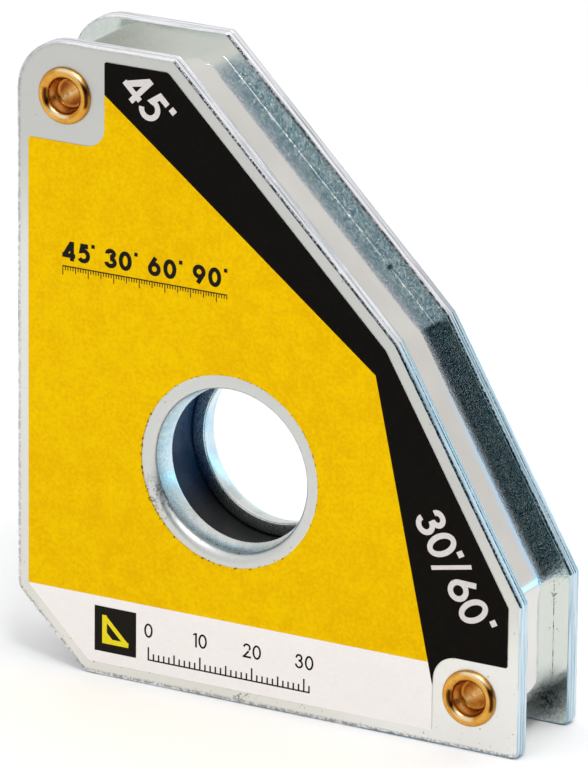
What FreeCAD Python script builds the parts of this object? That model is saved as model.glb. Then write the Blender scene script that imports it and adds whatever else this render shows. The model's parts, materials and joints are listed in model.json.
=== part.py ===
import FreeCAD, Part
import os
import Sketcher

# Welding magnet holder: two stamped steel pole plates with ferrite blocks between them,
# a bent strip that closes the gap just inside the plates' edge, a tube round the centre hole,
# two hollow-ended rivets and a printed label on the front plate.
#
# The part stands on its long bottom edge.  +Z is up, the label faces -Y, and the origin is in
# the middle of the base.  Outlines are drawn from the lower left corner of the plate.

doc = FreeCAD.newDocument("welding_magnet")

# ---------------------------------------------------------------------------------------------
# Driving dimensions, millimetres
# ---------------------------------------------------------------------------------------------
DIMENSIONS = {
    # pole plates
    "height": 111,
    "width": 96.4,
    "top_length": 30,        # top edge, from the left side to where the 45 degree edge starts
    "slope_run": 42.4,       # how far the 45 degree edge runs sideways, and down
    "foot_chamfer": 13.2,    # 45 degree cut at the lower left
    "plate_thick": 3,
    "plate_gap": 15.2,       # clear space between the two plates
    "top_round": 9.35,       # large corner round the upper rivet
    "foot_round": 3,
    "edge_round": 1,         # every other corner of the outline
    "rollover": 0.5,         # die rollover along the plate's outer face
    # centre hole, with its rim formed inwards
    "hole_x": 41.2,
    "hole_z": 40.9,
    "hole_radius": 13.8,
    "lip_round": 2,
    "rim_depth": 5.2,        # from the plate's outer face to the rim's end
    "rim_wall": 2.4,
    # strip between the plates
    "strip_inset": 3.2,
    "strip_thick": 1.2,
    "strip_bend": 2.4,
    "strip_joint": 0.6,
    # rivets and the sleeves round them
    "rivet_inset": 9.35,
    "shank_radius": 3.9,
    "flange_radius": 4.85,
    "flange_proud": 0.9,
    "flange_round": 0.75,
    "socket_radius": 3.15,
    "socket_depth": 2.8,
    "socket_cone": 0.35,
    "head_radius": 5.2,
    "head_round": 0.6,
    "sleeve_bore": 4,
    "sleeve_radius": 4.75,
    # tube round the centre hole
    "liner_play": 0.1,
    "liner_wall": 0.8,
    # ferrite blocks
    "magnet_width": 18,
    "magnet_inset": 5,
    "magnet_play": 1,        # between one block and the next
    "left_top": 84,          # height of the upper left block's top end
    "left_upper_length": 30,
    "left_lower_length": 38,
    "base_start": 24,        # from the left side to the first block of the bottom row
    "base_length": 27,
    "slope_start": 12,       # along the 45 degree edge, from its upper end
    "slope_length": 43,
    "steep_start": 6,        # along the 60 degree edge, from its upper end
    "steep_length": 34,
    # label
    "label_thick": 0.2,
    "label_inset": 2.4,
    "label_hole": 16.9,
    "label_round": 1.2,
    "upper_notch_x": 17.05,
    "upper_notch_z": 94.1,
    "upper_notch_round": 3.6,
    "lower_notch_x": 80.1,
    "lower_notch_z": 15.95,
    "lower_notch_round": 4.6,
}

sheet = doc.addObject("Spreadsheet::Sheet", "Sheet")
for row, (alias, number) in enumerate(DIMENSIONS.items(), start=1):
    sheet.set(f"A{row}", alias)
    sheet.set(f"B{row}", str(number))
    sheet.setAlias(f"B{row}", alias)
doc.recompute()

# ---------------------------------------------------------------------------------------------
# Sizes worked out from the driving ones, as expressions that the document evaluates
# ---------------------------------------------------------------------------------------------
KNEE_X = "(Sheet.top_length + Sheet.slope_run)"
KNEE_Z = "(Sheet.height - Sheet.slope_run)"
SIDE_HEIGHT = f"({KNEE_Z} - (Sheet.width - {KNEE_X}) * tan(60 deg))"
HALF_GAP = "(Sheet.plate_gap / 2)"
HALF_DEPTH = "(Sheet.plate_gap / 2 + Sheet.plate_thick)"
HALF_WIDTH = "(Sheet.width / 2)"
LINER_BORE = "(Sheet.hole_radius + Sheet.rim_wall + Sheet.liner_play)"
ORIGIN_X = f"-{HALF_WIDTH}"
SAME = 0.001                 # two places closer than this are the same place

# rivet centres, from the plate's lower left corner
RIVETS = {
    "upper_left": ("Sheet.rivet_inset", "Sheet.height - Sheet.rivet_inset"),
    "lower_right": ("Sheet.width - Sheet.rivet_inset", "Sheet.rivet_inset"),
}


def outline(inset):
    """Corners of the plate's outline moved inwards by an expression, anticlockwise from the foot."""
    return {
        "foot_right": (f"Sheet.foot_chamfer + {inset} * tan(22.5 deg)", inset),
        "base_right": (f"Sheet.width - {inset}", inset),
        "side_top": (f"Sheet.width - {inset}", f"{SIDE_HEIGHT} - {inset} * tan(15 deg)"),
        "knee": (
            f"{KNEE_X} - {inset} * cos(37.5 deg) / cos(7.5 deg)",
            f"{KNEE_Z} - {inset} * sin(37.5 deg) / cos(7.5 deg)",
        ),
        "slope_top": (f"Sheet.top_length - {inset} * tan(22.5 deg)", f"Sheet.height - {inset}"),
        "top_left": (inset, f"Sheet.height - {inset}"),
        "foot_left": (inset, f"Sheet.foot_chamfer + {inset} * tan(22.5 deg)"),
    }


def value(expression):
    """Number that an expression gives with the sheet's present values."""
    return float(sheet.evalExpression(expression))


# ---------------------------------------------------------------------------------------------
# Helpers: bodies, sketches and features
# ---------------------------------------------------------------------------------------------
def new_body(label):
    body = doc.addObject("PartDesign::Body", label)
    body.Label = label
    return body


def new_sketch(body, name, role, base):
    """Sketch on one of the body's own origin planes, moved by three expressions."""
    sketch = body.newObject("Sketcher::SketchObject", name)
    plane = [f for f in body.Origin.OriginFeatures if f.Role == role][0]
    sketch.AttachmentSupport = [(plane, "")]
    sketch.MapMode = "FlatFace"
    for axis, expression in zip("xyz", base):
        sketch.setExpression(f".AttachmentOffset.Base.{axis}", expression)
    return sketch


def face_sketch(body, name, depth="0", corner=(ORIGIN_X, "0")):
    """Sketch that looks along Y.  A positive depth moves it towards the label's side."""
    return new_sketch(body, name, "XZ_Plane", (corner[0], corner[1], depth))


def turning_sketch(body, name, centre):
    """Sketch whose vertical axis is the line along Y through a centre on the plate."""
    return new_sketch(body, name, "XY_Plane", (f"{ORIGIN_X} + {centre[0]}", "0", centre[1]))


def bind(sketch, index, name, expression):
    sketch.renameConstraint(index, name)
    sketch.setExpression(f"Constraints.{name}", expression)


def pin_point(sketch, name, geometry, vertex, x, y):
    """Place a point of the sketch by two expressions, measured from the sketch's origin."""
    for kind, tail, expression in (("DistanceX", "x", x), ("DistanceY", "y", y)):
        number = value(expression)
        if abs(number) < SAME:
            axis = -2 if kind == "DistanceX" else -1
            sketch.addConstraint(Sketcher.Constraint("PointOnObject", geometry, vertex, axis))
            continue
        ends = (-1, 1, geometry, vertex) if number > 0 else (geometry, vertex, -1, 1)
        sign = "" if number > 0 else "-"
        index = sketch.addConstraint(Sketcher.Constraint(kind, *ends, abs(number)))
        bind(sketch, index, f"{name}_{tail}", f"{sign}({expression})")


def draw_loop(sketch, corners):
    """Closed loop of straight lines through named corners, each held by two dimensions."""
    names = list(corners)
    points = [FreeCAD.Vector(value(x), value(y), 0) for x, y in corners.values()]
    lines = []
    for start, end in zip(points, points[1:] + points[:1]):
        lines.append(sketch.addGeometry(Part.LineSegment(start, end), False))
    for line, following in zip(lines, lines[1:] + lines[:1]):
        sketch.addConstraint(Sketcher.Constraint("Coincident", line, 2, following, 1))
    for name, line in zip(names, lines):
        pin_point(sketch, name, line, 1, *corners[name])


def draw_circle(sketch, name, radius, centre=("0", "0")):
    middle = FreeCAD.Vector(value(centre[0]), value(centre[1]), 0)
    circle = Part.Circle(middle, FreeCAD.Vector(0, 0, 1), value(radius))
    index = sketch.addGeometry(circle, False)
    pin_point(sketch, f"{name}_centre", index, 3, *centre)
    size = sketch.addConstraint(Sketcher.Constraint("Radius", index, value(radius)))
    bind(sketch, size, f"{name}_radius", radius)


def feature(body, kind, name, sketch, sizes, **settings):
    """Sketch-based feature with its sizes bound to the sheet, checked to add or remove material."""
    before = body.Shape.Volume if body.Tip else 0
    made = body.newObject(f"PartDesign::{kind}", name)
    made.Profile = sketch
    for key, setting in settings.items():
        setattr(made, key, setting)
    for key, expression in sizes.items():
        made.setExpression(key, expression)
    doc.recompute()
    change = body.Shape.Volume - before
    removes = kind in ("Pocket", "Groove")
    if (change >= 0) if removes else (change <= 0):
        raise RuntimeError(f"{body.Label}: {name} changed the volume by {change:.3f}")
    return made


def pad(body, sketch, length, **settings):
    return feature(body, "Pad", f"{body.Label}_{sketch.Name}_pad", sketch, {"Length": length}, **settings)


def pocket_through(body, sketch):
    return feature(
        body, "Pocket", f"{body.Label}_{sketch.Name}_cut", sketch, {}, Type="ThroughAll", Midplane=True
    )


def turn(body, kind, sketch):
    """Full turn of a sketch about its own vertical axis, which runs along Y."""
    name = f"{body.Label}_{sketch.Name}_turn"
    return feature(body, kind, name, sketch, {}, ReferenceAxis=(sketch, ["V_Axis"]), Angle=360)


def dress(body, kind, name, size, wanted):
    """Fillet or chamfer on the edges of the body that a test picks."""
    base = body.Tip
    edges = [f"Edge{i}" for i, edge in enumerate(base.Shape.Edges, start=1) if wanted(edge)]
    if not edges:
        raise RuntimeError(f"{body.Label}: {name} found no edge")
    made = body.newObject(f"PartDesign::{kind}", f"{body.Label}_{name}")
    made.Base = (base, edges)
    made.setExpression("Radius" if kind == "Fillet" else "Size", size)
    doc.recompute()
    return made


def corner_edges(corners):
    """Test for edges along Y that stand on any of these outline corners."""
    spots = [(value(f"{ORIGIN_X} + {x}"), value(z)) for x, z in corners]

    def wanted(edge):
        ends = [v.Point for v in edge.Vertexes]
        if len(ends) != 2 or abs(ends[0].y - ends[1].y) < SAME:
            return False
        return any(all(abs(p.x - x) + abs(p.z - z) < SAME for p in ends) for x, z in spots)

    return wanted


def face_edges(depth):
    """Test for edges that lie wholly in the plane y = depth."""

    def wanted(edge):
        box = edge.BoundBox
        return abs(box.YMin - depth) < SAME and abs(box.YMax - depth) < SAME

    return wanted


def ring_edges(radius, depth):
    """Test for circles of this radius in the plane y = depth."""

    def wanted(edge):
        if not isinstance(edge.Curve, Part.Circle):
            return False
        return abs(edge.Curve.Radius - radius) < SAME and abs(edge.BoundBox.YMin - depth) < SAME

    return wanted


def round_corners(body, corners, name, radius):
    dress(body, "Fillet", name, radius, corner_edges(corners))


# ---------------------------------------------------------------------------------------------
# Pole plates
# ---------------------------------------------------------------------------------------------
def make_plate(label, side):
    """Stamped plate.  side is +1 for the plate that faces -Y and -1 for the one that faces +Y."""
    sign = "" if side > 0 else "-"
    body = new_body(label)
    corners = outline("0")
    sketch = face_sketch(body, f"{label}_outline", depth=f"{sign}{HALF_GAP}")
    draw_loop(sketch, corners)
    pad(body, sketch, "Sheet.plate_thick", Reversed=side < 0)
    small = [corners[n] for n in ("base_right", "side_top", "knee", "slope_top")]
    feet = [corners["foot_right"], corners["foot_left"]]
    round_corners(body, [corners["top_left"]], "top_round", "Sheet.top_round")
    round_corners(body, feet, "foot_rounds", "Sheet.foot_round")
    round_corners(body, small, "edge_rounds", "Sheet.edge_round")
    outer = -side * value(HALF_DEPTH)
    dress(body, "Fillet", "rollover", "Sheet.rollover", face_edges(outer))

    # rim formed inwards round the hole
    centre = ("Sheet.hole_x", "Sheet.hole_z")
    rim_out = "Sheet.hole_radius + Sheet.rim_wall"
    root = f"{HALF_GAP} + Sheet.plate_thick / 2"
    tip = f"{HALF_DEPTH} - Sheet.rim_depth"
    flip = "-1 * " if side > 0 else ""
    rim = turning_sketch(body, f"{label}_rim", centre)
    draw_loop(rim, {
        "root_in": ("Sheet.hole_radius / 2", f"{flip}({root})"),
        "root_out": (rim_out, f"{flip}({root})"),
        "tip_out": (rim_out, f"{flip}({tip})"),
        "tip_in": ("Sheet.hole_radius / 2", f"{flip}({tip})"),
    })
    turn(body, "Revolution", rim)
    hole = face_sketch(body, f"{label}_hole")
    draw_circle(hole, "hole", "Sheet.hole_radius", centre)
    pocket_through(body, hole)
    dress(body, "Fillet", "lip", "Sheet.lip_round", ring_edges(value("Sheet.hole_radius"), outer))

    # clearance holes for the rivets
    for name, spot in RIVETS.items():
        drilled = face_sketch(body, f"{label}_{name}")
        draw_circle(drilled, name, "Sheet.shank_radius", spot)
        pocket_through(body, drilled)
    return body


# ---------------------------------------------------------------------------------------------
# Strip bent round the inside, just short of the plates' edges
# ---------------------------------------------------------------------------------------------
def make_strip():
    body = new_body("spacer_strip")
    outside = outline("Sheet.strip_inset")
    inset = "(Sheet.strip_inset + Sheet.strip_thick)"
    inside = outline(inset)
    bends = ("foot_right", "foot_left", "side_top", "knee", "slope_top")
    turns = ("top_left", "base_right")

    outer = face_sketch(body, "strip_outside")
    draw_loop(outer, outside)
    pad(body, outer, "Sheet.plate_gap", Midplane=True)
    inner = face_sketch(body, "strip_inside")
    draw_loop(inner, inside)
    pocket_through(body, inner)

    # every bend keeps the strip's thickness, and two of them turn round the rivets
    inner_bend = "Sheet.strip_bend - Sheet.strip_thick"
    outer_turn = "Sheet.rivet_inset - Sheet.strip_inset"
    round_corners(body, [inside[n] for n in bends], "inner_bends", inner_bend)
    round_corners(body, [inside[n] for n in turns], "inner_turns", f"{outer_turn} - Sheet.strip_thick")
    round_corners(body, [outside[n] for n in bends], "outer_bends", "Sheet.strip_bend")
    round_corners(body, [outside[n] for n in turns], "outer_turns", outer_turn)

    # the strip's two ends meet in the middle of the bottom run, with a slit between them
    left = "(Sheet.width - Sheet.strip_joint) / 2"
    right = "(Sheet.width + Sheet.strip_joint) / 2"
    slit = face_sketch(body, "strip_slit")
    draw_loop(slit, {
        "low_left": (left, "Sheet.strip_inset / 2"),
        "low_right": (right, "Sheet.strip_inset / 2"),
        "high_right": (right, f"{inset} + Sheet.strip_thick"),
        "high_left": (left, f"{inset} + Sheet.strip_thick"),
    })
    pocket_through(body, slit)
    return body


# ---------------------------------------------------------------------------------------------
# Tubes: the liner round the centre hole and the sleeves round the rivets
# ---------------------------------------------------------------------------------------------
def make_tube(label, centre, bore, outside):
    body = new_body(label)
    sketch = face_sketch(body, f"{label}_rings")
    draw_circle(sketch, "bore", bore, centre)
    draw_circle(sketch, "outside", outside, centre)
    pad(body, sketch, "Sheet.plate_gap", Midplane=True)
    return body


# ---------------------------------------------------------------------------------------------
# Rivets: a low round head at the back, and a hollow end rolled over the front plate
# ---------------------------------------------------------------------------------------------
def make_rivet(label, centre):
    body = new_body(label)
    front = f"-{HALF_DEPTH}"
    back = HALF_DEPTH
    floor = f"Sheet.socket_depth - {HALF_DEPTH}"
    profile = turning_sketch(body, f"{label}_profile", centre)
    draw_loop(profile, {
        "cone_tip": ("0", f"{floor} + Sheet.socket_cone"),
        "socket_floor": ("Sheet.socket_radius", floor),
        "socket_mouth": ("Sheet.socket_radius", f"{front} - Sheet.flange_proud"),
        "flange_crest": ("Sheet.flange_radius", f"{front} - Sheet.flange_proud"),
        "flange_foot": ("Sheet.flange_radius", front),
        "shank_front": ("Sheet.shank_radius", front),
        "shank_back": ("Sheet.shank_radius", back),
        "head_foot": ("Sheet.head_radius", back),
        "head_crown": ("Sheet.head_radius", f"{back} + Sheet.flange_proud"),
        "head_middle": ("0", f"{back} + Sheet.flange_proud"),
    })
    turn(body, "Revolution", profile)
    proud = value(f"{HALF_DEPTH} + Sheet.flange_proud")
    dress(body, "Fillet", "rolled_end", "Sheet.flange_round", face_edges(-proud))
    dress(body, "Fillet", "head_edge", "Sheet.head_round", face_edges(proud))
    return body


# ---------------------------------------------------------------------------------------------
# Ferrite blocks, as thick as the gap, so that each touches both plates
# ---------------------------------------------------------------------------------------------
def make_magnet(label, corner, length, turn_down=0):
    """Block laid from a corner on the plate.  turn_down leans its long side below the horizontal."""
    block = doc.addObject("Part::Box", label)
    block.Label = label
    block.setExpression("Length", length)
    block.setExpression("Width", "Sheet.plate_gap")
    block.setExpression("Height", "Sheet.magnet_width")
    block.setExpression(".Placement.Base.x", f"{ORIGIN_X} + {corner[0]}")
    block.setExpression(".Placement.Base.y", f"-{HALF_GAP}")
    block.setExpression(".Placement.Base.z", corner[1])
    block.Placement.Rotation = FreeCAD.Rotation(FreeCAD.Vector(0, 1, 0), turn_down)
    return block


# ---------------------------------------------------------------------------------------------
# Printed label, cut back round both rivets and the centre hole
# ---------------------------------------------------------------------------------------------
def make_label():
    body = new_body("front_label")
    corners = outline("Sheet.label_inset")
    sheet_face = face_sketch(body, "label_outline", depth=HALF_DEPTH)
    draw_loop(sheet_face, corners)
    pad(body, sheet_face, "Sheet.label_thick")
    kept = [corners[n] for n in ("foot_right", "foot_left", "side_top", "knee", "slope_top")]
    round_corners(body, kept, "corner_rounds", "Sheet.label_round")

    upper = ("Sheet.upper_notch_x", "Sheet.upper_notch_z")
    lower = ("Sheet.lower_notch_x", "Sheet.lower_notch_z")
    upper_notch = face_sketch(body, "label_upper_notch")
    draw_loop(upper_notch, {
        "outer_low": ("0", upper[1]),
        "inner_low": upper,
        "inner_high": (upper[0], "Sheet.height"),
        "outer_high": ("0", "Sheet.height"),
    })
    pocket_through(body, upper_notch)
    lower_notch = face_sketch(body, "label_lower_notch")
    draw_loop(lower_notch, {
        "inner_low": (lower[0], "0"),
        "outer_low": ("Sheet.width", "0"),
        "outer_high": ("Sheet.width", lower[1]),
        "inner_high": lower,
    })
    pocket_through(body, lower_notch)
    round_corners(body, [upper], "upper_notch_round", "Sheet.upper_notch_round")
    round_corners(body, [lower], "lower_notch_round", "Sheet.lower_notch_round")

    hole = face_sketch(body, "label_hole_ring")
    draw_circle(hole, "hole", "Sheet.label_hole", ("Sheet.hole_x", "Sheet.hole_z"))
    pocket_through(body, hole)
    return body


def along_edge(start, distance, fall, inset):
    """Point a distance down a sloping edge from its start, then moved square to it into the plate."""
    x = f"{start[0]} + {distance} * cos({fall} deg) - {inset} * sin({fall} deg)"
    z = f"{start[1]} - {distance} * sin({fall} deg) - {inset} * cos({fall} deg)"
    return x, z


def make_magnets():
    deep = "(Sheet.magnet_inset + Sheet.magnet_width)"
    left_lower_top = "Sheet.left_top - Sheet.left_upper_length - Sheet.magnet_play"
    second_start = "Sheet.base_start + Sheet.base_length + Sheet.magnet_play / 2"
    slope_corner = along_edge(("Sheet.top_length", "Sheet.height"), "Sheet.slope_start", 45, deep)
    steep_corner = along_edge((KNEE_X, KNEE_Z), "Sheet.steep_start", 60, deep)
    inset = "Sheet.magnet_inset"
    return [
        make_magnet("magnet_left_upper", (inset, "Sheet.left_top"), "Sheet.left_upper_length", 90),
        make_magnet("magnet_left_lower", (inset, left_lower_top), "Sheet.left_lower_length", 90),
        make_magnet("magnet_base_left", ("Sheet.base_start", inset), "Sheet.base_length"),
        make_magnet("magnet_base_right", (second_start, inset), "Sheet.base_length"),
        make_magnet("magnet_slope_45", slope_corner, "Sheet.slope_length", 45),
        make_magnet("magnet_slope_60", steep_corner, "Sheet.steep_length", 60),
    ]


# ---------------------------------------------------------------------------------------------
# Build, check and write
# ---------------------------------------------------------------------------------------------
nodes = [make_plate("front_plate", 1), make_plate("back_plate", -1), make_strip(), make_label()]
for rivet_name, rivet_centre in RIVETS.items():
    nodes.append(make_rivet(f"rivet_{rivet_name}", rivet_centre))
    nodes.append(
        make_tube(f"sleeve_{rivet_name}", rivet_centre, "Sheet.sleeve_bore", "Sheet.sleeve_radius")
    )
liner_outside = f"{LINER_BORE} + Sheet.liner_wall"
nodes.append(make_tube("hole_liner", ("Sheet.hole_x", "Sheet.hole_z"), LINER_BORE, liner_outside))
nodes += make_magnets()
doc.recompute()

for thing in doc.Objects:
    if "Invalid" in thing.State or "Error" in thing.State:
        raise RuntimeError(f"{thing.Name} is in state {thing.State}")
for node in nodes:
    if node.Shape.isNull() or not node.Shape.isValid() or len(node.Shape.Solids) != 1:
        raise RuntimeError(f"{node.Label} is not one valid solid")

os.makedirs("parts", exist_ok=True)
for node in nodes:
    node.Shape.exportStep(f"parts/{node.Label}.step")
    size = node.Shape.optimalBoundingBox()
    print(f"{node.Label:20s} {node.Shape.Volume:10.1f} mm3  "
          f"x {size.XMin:7.2f} {size.XMax:7.2f}  y {size.YMin:7.2f} {size.YMax:7.2f}  "
          f"z {size.ZMin:7.2f} {size.ZMax:7.2f}")
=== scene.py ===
import json
import math

import bmesh
import bpy
import numpy as np
from mathutils import Matrix, Vector, geometry, noise


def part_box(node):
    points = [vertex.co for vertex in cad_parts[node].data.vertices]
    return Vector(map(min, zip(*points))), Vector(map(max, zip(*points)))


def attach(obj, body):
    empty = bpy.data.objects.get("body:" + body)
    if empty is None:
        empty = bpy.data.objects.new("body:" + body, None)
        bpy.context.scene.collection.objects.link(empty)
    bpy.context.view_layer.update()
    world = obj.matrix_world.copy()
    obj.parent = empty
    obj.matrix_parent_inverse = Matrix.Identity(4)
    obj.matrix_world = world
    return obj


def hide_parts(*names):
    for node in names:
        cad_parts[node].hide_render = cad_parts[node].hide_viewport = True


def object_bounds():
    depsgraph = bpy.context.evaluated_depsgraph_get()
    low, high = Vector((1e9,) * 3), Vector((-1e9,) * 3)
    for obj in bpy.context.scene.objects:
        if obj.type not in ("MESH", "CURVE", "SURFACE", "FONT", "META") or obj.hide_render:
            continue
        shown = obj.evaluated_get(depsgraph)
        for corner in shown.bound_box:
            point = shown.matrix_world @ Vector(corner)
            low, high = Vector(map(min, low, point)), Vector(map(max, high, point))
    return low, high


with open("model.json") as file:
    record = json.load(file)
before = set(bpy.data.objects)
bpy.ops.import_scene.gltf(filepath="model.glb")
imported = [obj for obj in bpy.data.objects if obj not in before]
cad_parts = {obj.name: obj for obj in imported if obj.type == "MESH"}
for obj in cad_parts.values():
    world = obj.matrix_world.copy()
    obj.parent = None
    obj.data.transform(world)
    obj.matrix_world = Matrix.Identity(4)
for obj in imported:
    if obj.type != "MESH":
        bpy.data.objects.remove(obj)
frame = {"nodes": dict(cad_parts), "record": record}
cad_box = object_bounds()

# Welding magnet holder: two stamped plates, a bent bright strip between them, a dark tube round
# the finger hole, two brass rivets and a printed label.  Lengths on the part are millimetres
# from the plate's lower left corner (x right, z up) and from its mid-plane (y back), and
# become metres of the row frame in point().

MM = 0.001

# ---- Sizes read from the frame ----
plate_low, plate_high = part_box("front_plate")
strip_low, strip_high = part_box("spacer_strip")
label_low, label_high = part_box("front_label")
liner_low, liner_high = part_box("hole_liner")
mounts = {m["name"]: m for m in frame["record"]["mounts"]}

LEFT = plate_low.x
WIDTH = (plate_high.x - plate_low.x) / MM
HEIGHT = plate_high.z / MM
OUTER_Y = -plate_low.y / MM  # outer face of a plate
GAP_Y = strip_high.y / MM  # inner face of a plate
RIM_Y = -plate_high.y / MM  # end of the rim formed round the hole
STRIP_INSET = (strip_low.x - plate_low.x) / MM
LABEL_INSET = (label_low.x - plate_low.x) / MM
LABEL_Y = -label_low.y / MM
HOLE_X = (mounts["centre_hole"]["pos_m"][0] - LEFT) / MM
HOLE_Z = mounts["centre_hole"]["pos_m"][2] / MM
HOLE_R = mounts["centre_hole"]["dims"]["r_mm"]
LINER_R = (liner_high.x - liner_low.x) / MM / 2

# Sizes that the frame doesn't state, the same as in the part's source
FOOT_CHAMFER = 13.2
PLATE_THICK = OUTER_Y - GAP_Y
RIM_WALL = 2.4
LINER_WALL = 0.8
STRIP_THICK = 1.2
STRIP_BEND = 2.4
STRIP_JOINT = 0.6
SHANK_R = 3.9
LABEL_HOLE = 16.9
INK = 0.025  # thickness of a layer of print

# Marks left by handling, and the place of a painted shadow under the strip's lower bend
HOLE_SCUFF = (28.1, -OUTER_Y, 34.0)
SEAM_DOT = (61.3, GAP_Y, 75.1)
FOOT_SMEAR = (43.6, -OUTER_Y, 1.6)
EDGE_NICK = (61.6, 79.3)
BEND_SHADOW = (92.6, GAP_Y, 4.0)


def point(x, y, z):
    """Row-frame point of a place given in plate millimetres."""
    return (LEFT + x * MM, y * MM, z * MM)


def rivet_centre(node):
    low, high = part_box(node)
    return ((low.x + high.x) / 2 - LEFT) / MM, (low.z + high.z) / 2 / MM


# ---- Outlines in the plate's plane ----
def mount_line(name):
    """Edge of the plate as (normal x, normal z, distance), read from its flat-face mount."""
    m = mounts[name]
    nx, _, nz = m["axis"]
    x, z = (m["pos_m"][0] - LEFT) / MM, m["pos_m"][2] / MM
    return nx, nz, nx * x + nz * z


DIAG = math.sqrt(0.5)
FOOT_LINE = (-DIAG, -DIAG, -DIAG * FOOT_CHAMFER)
# anticlockwise, starting with the base
STRAIGHT = ("base", "right", "slope_60", "slope_45", "top", "left")
EDGES = [mount_line(f"{name}_edge") for name in STRAIGHT] + [FOOT_LINE]
CORNERS = ("base_right", "side_top", "knee", "slope_top", "top_left", "foot_left", "foot_right")


def cross_lines(a, b):
    det = a[0] * b[1] - a[1] * b[0]
    return (a[2] * b[1] - a[1] * b[2]) / det, (a[0] * b[2] - a[2] * b[0]) / det


def corner_points(inset):
    """Sharp corners of the outline moved inwards, by name."""
    lines = [(nx, nz, d - inset) for nx, nz, d in EDGES]
    return {name: cross_lines(lines[i], lines[(i + 1) % len(lines)]) for i, name in enumerate(CORNERS)}


def rounded_outline(inset, radii, step, turn_step=9.0):
    """Points and outward normals round the outline, with arcs of the given radii at its corners."""
    ways = [np.array(edge[:2]) for edge in EDGES]
    arcs = []
    for i, (name, corner) in enumerate(corner_points(inset).items()):
        before, after = ways[i], ways[(i + 1) % len(ways)]
        radius = radii[name]
        turn = math.acos(np.clip(before @ after, -1, 1))
        start = corner - np.array([-before[1], before[0]]) * radius * math.tan(turn / 2)
        pieces = max(2, round(math.degrees(turn) / turn_step))
        angles = math.atan2(before[1], before[0]) + turn * np.arange(pieces + 1) / pieces
        normals = np.stack([np.cos(angles), np.sin(angles)], axis=1)
        arcs.append((start, start - before * radius + normals * radius, normals))
    places, outward = [], []
    for i, (_, arc_places, normals) in enumerate(arcs):
        # the arc, then the straight run to the next one
        last, end = arc_places[-1], arcs[(i + 1) % len(arcs)][0]
        parts = max(1, round(math.dist(last, end) / step))
        places += [arc_places, last + (end - last) * np.arange(1, parts)[:, None] / parts]
        outward += [normals, np.tile(ways[(i + 1) % len(ways)], (parts - 1, 1))]
    return np.vstack(places), np.vstack(outward)


def unit(values):
    return np.clip(values, 0, 1)


def wobble(place, scale, seed):
    """Smooth value from -1 to 1 that varies along the part, the same in every run."""
    return noise.noise(Vector((place[0] / scale, seed * 7.31, place[1] / scale)))


# ---- Mesh making ----
def inside(loop, spots):
    """Which of the points lie inside a closed loop, by counting crossings."""
    xs, zs = np.asarray(loop, float).T
    x2, z2 = np.roll(xs, -1), np.roll(zs, -1)
    px, pz = spots[:, :1], spots[:, 1:]
    spans = (zs > pz) != (z2 > pz)
    rise = np.where(z2 == zs, 1, z2 - zs)
    crossing = xs + (pz - zs) * (x2 - xs) / rise
    return (np.sum(spans & (px < crossing), axis=1) % 2) == 1


def triangulate(loops, extra_points=(), extra_edges=()):
    """Points, triangles and triangle middles of several loops, and the given point behind each point."""
    points, edges = [], []
    for loop in loops:
        first = len(points)
        points += [Vector((float(a), float(b))) for a, b in loop]
        edges += [(first + i, first + (i + 1) % len(loop)) for i in range(len(loop))]
    first = len(points)
    points += [Vector((float(a), float(b))) for a, b in extra_points]
    edges += [(first + a, first + b) for a, b in extra_edges]
    verts, _, faces, origin, _, _ = geometry.delaunay_2d_cdt(points, edges, [], 0, 1e-6)
    flat = np.array([(v.x, v.y) for v in verts])
    tris = np.array([f for f in faces if len(f) == 3])
    return flat, tris, flat[tris].mean(axis=1), origin


SHARP = math.radians(40)


def placed(name, data):
    """A new object with this data, in the scene."""
    thing = bpy.data.objects.new(name, data)
    bpy.context.scene.collection.objects.link(thing)
    return thing


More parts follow.
